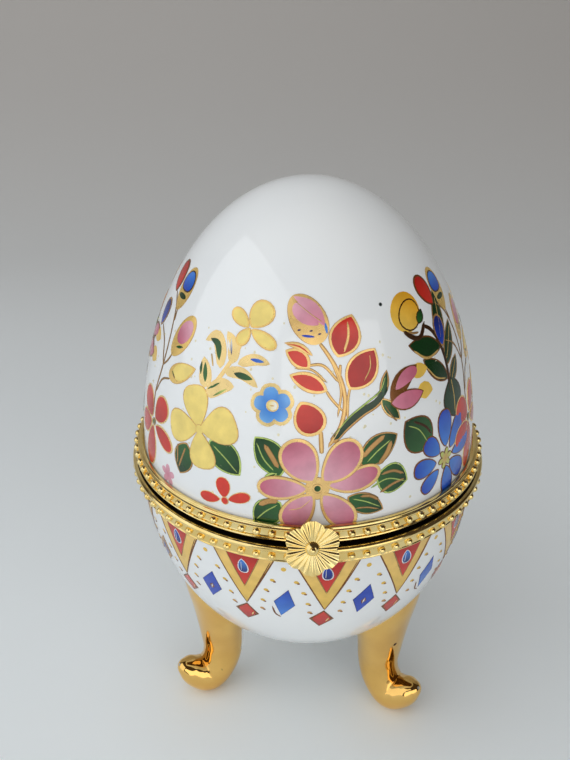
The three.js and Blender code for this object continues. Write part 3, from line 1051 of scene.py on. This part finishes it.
def blueSpray():
    line([(52.3, 21), (53.2, 25), (53, 28), (51.4, 31), (48.6, 33.2), (45, 34.3)], 0.8, "umber", 1)
    # leaves on the stem: base, tip, width, border, and a straw vein with its width
    leaves = [
        ((51.6, 29.6), (36.2, 31.9), 3.2, "brown", [(37.6, 30.9), (43, 28.9), (50.4, 29.2)], 0.5),
        ((52.2, 23.8), (41.4, 28.7), 2.8, "brown", [(42, 27.4), (46, 25), (51, 23.9)], 0.4),
        ((52.6, 29.6), (59.2, 38.6), 3.0, "tan", [(53.4, 31), (58.6, 37.4)], 0.35),
        ((53.2, 26), (63, 32.4), 2.8, "tan", [(54, 27), (62, 31.6)], 0.35),
        ((54, 22.6), (61, 26.2), 2.2, "tan", [(55, 23.2), (60, 25.8)], 0.3),
        ((54, 16.4), (54.2, 23.4), 6.2, "umber", [(54.2, 17), (54.6, 20), (54.2, 23)], 0.4),
    ]
    for base, tip, width, border, vein, thick in leaves:
        leaf(base, tip, width, [(vein, thick, "straw")], border=border, body="deep")
    veins = [
        ([(31, 18.9), (35, 17.6), (38.6, 14.6)], 0.38, "lime"),
        ([(33, 19.4), (38, 17.6), (40.4, 15.8)], 0.7, "umber"),
    ]
    leaf((39.6, 14), (30.2, 19.6), 6.2, veins, border="brown")
    # the orange bud and its calyx
    brush("lid_enamel", [(34.6, 34.4), (42.5, 40.4)], 6.4, "ochre", "amber", 1, roundShape)
    cell([(36.4, 34.8), (43.6, 38.8)], 4.2, "ochre", "amber", 3, 0.25, "umber", shape=blade(0.45, 0.5))
    cell([(43.2, 35), (46.6, 36.8)], 1.4, "leaf", "deep", 4, 0.2, "umber", shape=leafShape)
    line([(34.8, 34.6), (38, 33.2), (42, 32.6), (46.6, 34.8)], 0.85, "umber", 4)
    line([(36.8, 34.2), (39, 33.7), (42, 33.5)], 0.4, "tan", 5)
    petals = [
        (-127, 2.6, 7.4, 2.9, 0), (-88, 2.8, 7.9, 3.3, 0), (-46, 2.4, 7.2, 3.2, 0), (3, 2.4, 9.0, 3.8, 0),
        (46, 2.2, 8.8, 3.5, 0), (88, 2.4, 9.2, 3.1, 0), (130, 2.0, 8.2, 3.4, 0), (172, 1.8, 7.2, 3.2, 0),
    ]
    middle = (46.8, 9.7)
    flower(middle, petals, "azure", "royal", 3, 0.25, "brown", shape=blade(0.7, 0.4))
    for angle in range(20, 380, 60):
        cell([middle, spoke(egg["lid"], middle, angle, 1.9)], 0.9, "tan", "lime", 5, 0.15, "brown")


dots = {"seed": 11, "count": 420, "climb": (4, 34), "fade": 5, "size": (0.3, 0.6), "length": 1.6}


def goldDots():
    dice = random.Random(dots["seed"])
    for _ in range(dots["count"]):
        degrees = dice.uniform(-180, 180)
        climb = dice.uniform(*dots["climb"]) + dice.uniform(0, dots["fade"])
        size = dice.uniform(*dots["size"])
        path = [(degrees, climb), (degrees + size * dots["length"], climb)]
        brush("lid_enamel", path, size, "dust", layer=-1, shape=roundShape)


band = {
    "points": 14, "first": 4.9, "gems": ("royal", "azure", "navy"),
    "dots": ((9.2, -9.1, "ochre"), (7.0, -11.9, "ochre"), (5.6, -15.0, "ochre"), (5.0, -17.7, "tan")),
    "dot": 0.75, "dotShadow": 0.5,
}  # a dot is degrees from its point's middle, climb and tone


def bandPoint(a, gem):  # a gold point hanging from the rim, with a red field, a gem and a red lozenge
    brush("bowl_enamel", [(a - 0.2, -16.6), (a, -2.6)], 12.6, "ochre", "straw", 0, wedge)
    brush("bowl_enamel", [(a, -11.6), (a + 0.2, -3.0)], 7.2, "red", "crimson", 2, wedge)
    for side in (-1, 1):
        edge = [(a - 0.2, -16.8), (a + 5 * side, -10.3), (a + 10.7 * side, -3.0)]
        line(edge, 0.3, "brown", 2, "bowl_gold")
        line([(a, -11.9), (a + 3 * side, -7.6), (a + 6.1 * side, -3)], 0.25, "tan", 3, "bowl_gold")
    line([(a + 0.9, -15.4), (a + 4.6, -10.4), (a + 8.8, -4.6)], 0.2, "brown", 2, "bowl_gold")
    cell([(a + 0.3, -8.2), (a - 0.2, -5.3)], 1.7, "navy", gem, 4, 0.2, "white", "bowl", shape=blade(0.4, 0.7))
    line([(a - 0.5, -7.8), (a - 0.4, -5.8)], 0.25, "white", 5, "bowl_gold")
    cell([(a - 1.4, -22.3), (a - 0.4, -17.4)], 3.8, "crimson", "red", 2, 0.4, "brown", "bowl", shape=diamond)
    brush("bowl_gold", [(a + 0.6, -20.8), (a + 1.6, -19.6)], 0.5, "pale", layer=3, shape=leafShape)


def bandLozenge(a, kind):  # the blue lozenge between two points, in three kinds
    path = [(a - 1.6, -19.0), (a + 1.1, -11.2)]
    if kind == 0:
        cell(path, 4.1, "royal", "royal", 2, 0.12, "navy", "bowl", shape=diamond)
        eye = [(a - 0.6, -16.2), (a + 0.1, -14.8)]
        cell(eye, 0.7, "white", "white", 4, 0.2, "brown", "bowl", shape=diamond)
    elif kind == 1:
        cell(path, 3.7, "azure", "royal", 2, 0.1, "navy", "bowl", shape=diamond)
        line([(a - 4.4, -16.4), (a - 3.4, -18.8), (a - 1.8, -19.6)], 0.35, "brown", 3, "bowl_gold")
    else:
        brush("bowl_gold", path, 5.2, "tan", layer=1, shape=diamond)
        core, eye = [(a - 1.0, -17.6), (a + 0.5, -12.9)], [(a - 0.4, -15.7), (a, -14.7)]
        cell(core, 2.6, "royal", "navy", 3, 0.12, "brown", "bowl", shape=diamond)
        cell(eye, 0.6, "white", "pale", 5, 0.15, "tan", "bowl", shape=diamond)


def bandDots(a):  # gold dots along both sides of a point, each with a brown shadow
    for away, climb, colour in band["dots"]:
        for spot in (a - away, a + away):
            dot = [(spot - 0.8, climb + 0.2), (spot + 0.7, climb)]
            shadow = [(spot + 0.1, climb - 0.1), (spot + 1.0, climb - 0.3)]
            brush("bowl_enamel", dot, band["dot"], colour, layer=1, shape=roundShape)
            brush("bowl_enamel", shadow, band["dotShadow"], "brown", layer=2, shape=roundShape)


def bowlBand():
    for k in range(band["points"]):
        a = band["first"] + 360 / band["points"] * k
        middle = a + 180 / band["points"]
        kind = k % len(band["gems"])
        bandPoint(a, band["gems"][kind])
        bandLozenge(middle, kind)
        bandDots(a)
        brush("bowl_enamel", [(middle - 1, -6), (middle + 0.6, -6)], 0.9, "ochre", layer=1, shape=roundShape)


def makePaint(name, metallic, roughness):
    place, shade = newMaterial(name)
    laid = place.node("ShaderNodeAttribute", {"attribute_name": "paint"})
    cloud = place.noise(420, 3).over(0.25, 0.8)
    shadeOf = cloud.blend(opaque(0.86, 0.86, 0.86), opaque(1.06, 1.06, 1.06))
    base = laid.node(
        "ShaderNodeMix", {"data_type": "RGBA", "blend_type": "MULTIPLY"}, {0: 1.0, 6: laid, 7: shadeOf}, 2,
    )
    gloss = place.noise(700, 2).over(0.3, 0.8) * 0.14 + roughness
    grain = place.noise(1500, 2).bump(0.12, 0.05)
    return shade(Base=base, Roughness=gloss, Normal=grain, Metallic=metallic)


def makeDecoration():
    for turn in bouquet["turns"]:
        bouquet["turn"] = turn
        redSpray()
        yellowSpray()
        smallFlowers()
        lightBlueFlower()
        pinkSpray()
        if turn < bouquet["blueSprayBefore"]:
            blueSpray()
    bouquet["turn"] = 0
    goldDots()
    bowlBand()
    enamel = makePaint("enamel_paint", 0.0, 0.12)
    gold = makePaint("gold_paint", 0.42, 0.24)
    for name, coat in coats.items():
        piece = fromPoints(name, coat["points"], coat["faces"])
        colours = piece.data.attributes.new("paint", "FLOAT_COLOR", "POINT")
        colours.data.foreach_set("color", [c for colour in coat["tones"] for c in (*colour, 1.0)])
        tidyMesh(piece, 1e-8)
        smooth(piece, 50)
        body = "lid" if name.startswith("lid") else "base"
        isGold = name.endswith("gold")
        finish(piece, gold if isGold else enamel, body, "gilding" if isGold else "porcelain")
        print(name, len(piece.data.polygons), "faces")


makeDecoration()
print("decoration ready")
